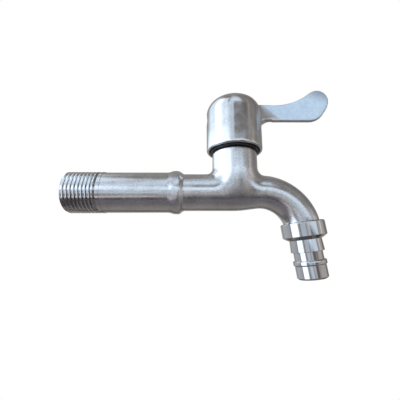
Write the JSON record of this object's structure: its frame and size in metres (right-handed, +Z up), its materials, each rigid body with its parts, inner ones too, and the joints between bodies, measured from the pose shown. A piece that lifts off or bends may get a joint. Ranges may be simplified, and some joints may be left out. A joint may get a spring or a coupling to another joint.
{
  "type": "washing machine tap",
  "caption": "Stainless wall tap with a threaded extension inlet, quarter-turn upright fin lever, curved spout and stepped push-on hose nipple.",
  "frame": {"origin": "centre of the plain land behind the inlet thread, at its tube-side end, where the wall's plane is", "axes": "+X from the wall towards the outlet, +Z up along the spindle's axis, +Y away from the viewer"},
  "size_m": [0.1371, 0.029, 0.1005],
  "materials": {
    "cast_steel": "satin, finely brushed",
    "tube_steel": "satin, finely brushed",
    "weld_steel": "polished weld, slightly uneven",
    "nipple_steel": "turned and polished",
    "gasket_rubber": "black rubber",
    "headwork_brass": "turned",
    "ring_rubber": "black rubber",
    "black_plastic": "black, matt",
    "washer_brass": "stamped",
    "glide_plastic": "white, slippery",
    "ceramic": "lapped ceramic",
    "seal_rubber": "black rubber",
    "support_plastic": "white",
    "handle_steel": "satin",
    "screw_steel": "plain",
    "spindle_brass": "turned",
    "spring_steel": "dark spring steel",
    "stem_ring_rubber": "black rubber",
    "ceramic_moving": "lapped ceramic"
  },
  "bodies": {
    "tap": {"tap_body": "cast_steel", "inlet_extension": "tube_steel", "weld_bead": "weld_steel", "hose_nipple": "nipple_steel", "nipple_gasket": "gasket_rubber", "cartridge_housing": "headwork_brass", "housing_o_ring": "ring_rubber", "skirt_ring": "black_plastic", "thrust_washer": "washer_brass", "glide_ring": "glide_plastic", "fixed_disc": "ceramic", "seat_seal": "seal_rubber", "seal_support_ring": "support_plastic"},
    "turning_set": {"handle": "handle_steel", "grub_screw": "screw_steel", "spindle": "spindle_brass", "spindle_circlip": "spring_steel", "spindle_o_rings": "stem_ring_rubber", "moving_disc": "ceramic_moving"}
  },
  "joints": [
    {"name": "handle_turn", "type": "hinge", "parent": "tap", "child": "turning_set", "pos_m": [0.066, 0, 0.03], "axis": [0, 0, 1], "range_deg": [0, 90]}
  ]
}
